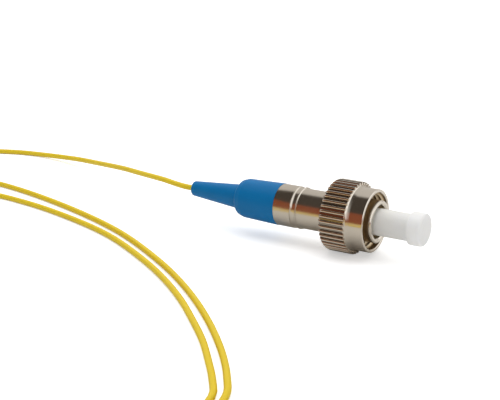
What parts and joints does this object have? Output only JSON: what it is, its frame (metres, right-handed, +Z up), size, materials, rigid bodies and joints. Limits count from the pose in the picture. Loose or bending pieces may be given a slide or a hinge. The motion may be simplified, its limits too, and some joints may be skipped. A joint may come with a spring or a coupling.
{
  "type": "fc fibre connector",
  "caption": "Threaded single-fibre plug with a ridged coupling nut, ceramic ferrule under a dust cap, blue boot and a coiled yellow buffered fibre.",
  "frame": {"origin": "middle of the bottom of the connector's box, on the surface it lies on, without the fibre", "axes": "+X along the plug's axis towards the dust cap, +Z up, away from the surface"},
  "size_m": [0.1152, 0.0922, 0.0102],
  "materials": {
    "cap_plastic": "translucent milky polyethylene",
    "zirconia": "polished white zirconia",
    "holder_brass": "nickel-plated brass",
    "fibre_glass": "bare silica fibre",
    "fibre_coating": "acrylate coating",
    "buffer_yellow": "satin yellow buffer",
    "guide_white": "white liner tube",
    "spring_steel": "drawn stainless wire",
    "nickel_bright": "bright nickel plating on brass",
    "nickel_turned": "finely turned nickel plating on brass",
    "boot_blue": "satin blue moulded elastomer",
    "tie_white": "white tape"
  },
  "bodies": {
    "connector": {"plug_sleeve": "nickel_bright", "rear_body": "nickel_turned", "rear_collar": "nickel_turned", "boot": "boot_blue", "guide_tube": "guide_white", "fibre_buffer": "buffer_yellow", "spring": "spring_steel", "fibre_run": "buffer_yellow", "fibre_coil": "buffer_yellow", "coil_tie_inner": "tie_white", "coil_tie_outer": "tie_white"},
    "ring": {"retaining_ring": "spring_steel"},
    "nut": {"coupling_nut": "nickel_bright"},
    "ferrule": {"ferrule": "zirconia", "ferrule_holder": "holder_brass", "glass_fibre": "fibre_glass", "fibre_coating": "fibre_coating"},
    "cap": {"dust_cap": "cap_plastic"}
  },
  "joints": [
    {"name": "nut_slide", "type": "slide", "parent": "connector", "child": "ring", "axis": [1, 0, 0], "range_m": [-0.0043, 0]},
    {"name": "nut_turn", "type": "hinge", "parent": "ring", "child": "nut", "pos_m": [0.008, 0, 0.00509], "axis": [1, 0, 0], "continuous": true},
    {"name": "ferrule_float", "type": "slide", "parent": "connector", "child": "ferrule", "axis": [-1, 0, 0], "range_m": [0, 0.001], "stiffness_N_per_m": 2000, "springref_m": -0.004, "deforming": ["spring", "fibre_buffer"]},
    {"name": "cap_pull", "type": "slide", "parent": "ferrule", "child": "cap", "axis": [1, 0, 0], "range_m": [0, 0.009]}
  ]
}
